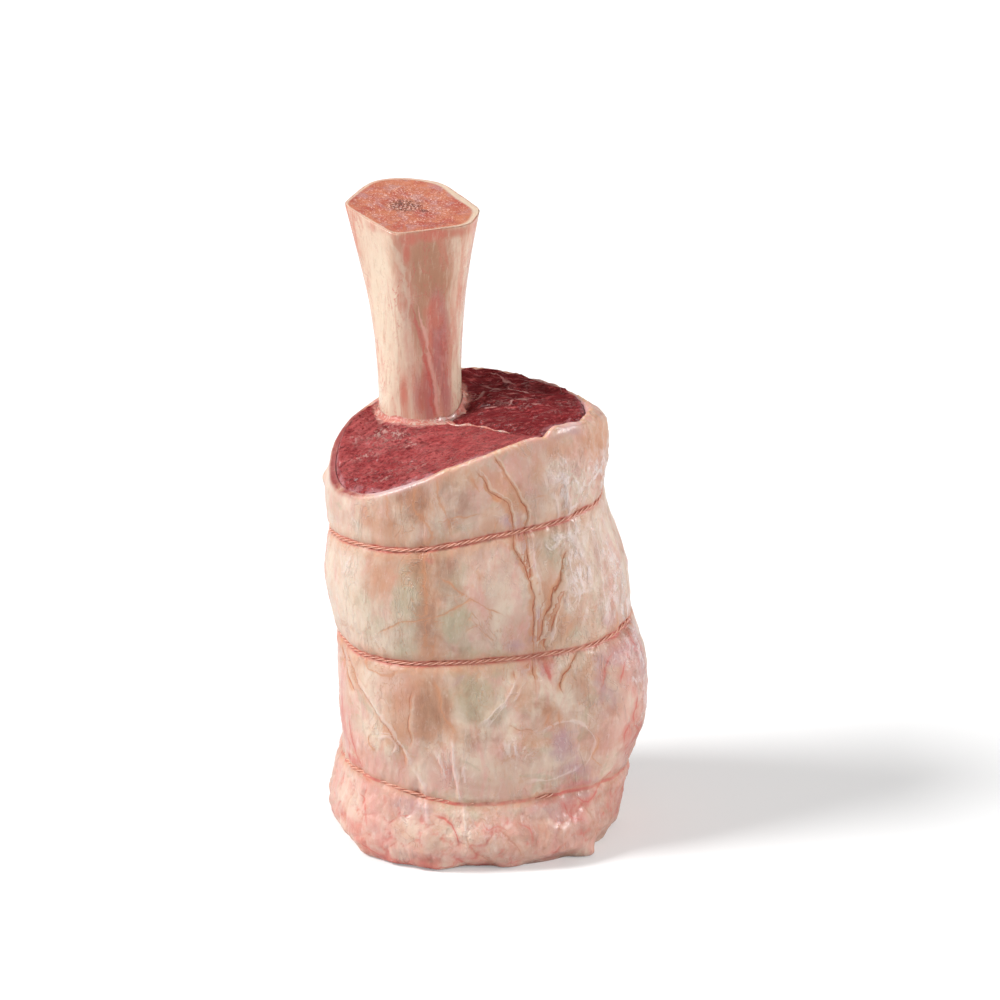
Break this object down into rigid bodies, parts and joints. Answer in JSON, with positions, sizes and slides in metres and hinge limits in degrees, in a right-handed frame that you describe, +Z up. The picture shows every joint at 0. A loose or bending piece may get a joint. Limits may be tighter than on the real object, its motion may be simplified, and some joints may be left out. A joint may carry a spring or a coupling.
{
  "type": "raw beef shank",
  "caption": "Raw bone-in beef shank standing on its cut base, a long bare sawn bone above tied meat in a pale cover of fat and silverskin.",
  "frame": {"origin": "middle of the flat base the shank stands on", "axes": "+Z up along the bone to its sawn end, -Y towards the front, where the larger muscle and the low side of the cut face"},
  "size_m": [0.1485, 0.1274, 0.2957],
  "materials": {
    "bone": "fresh bone, cream to salmon, wet and glossy, with a spongy red sawn end",
    "muscle": "raw lean beef, moist, dark raspberry red with fine pale fibres",
    "seam": "white-pink connective tissue, thin, wet and torn at its edge",
    "cover": "beige fat under translucent silverskin, mottled pink, wrinkled and moist",
    "twine": "cotton butcher's twine, twisted, stained pinkish beige by meat juice"
  },
  "bodies": {
    "root": {"bone": "bone", "muscle_front": "muscle", "muscle_back": "muscle", "seam_tissue": "seam", "fat_cover": "cover", "twine_top": "twine", "twine_middle": "twine", "twine_bottom": "twine"}
  },
  "joints": []
}
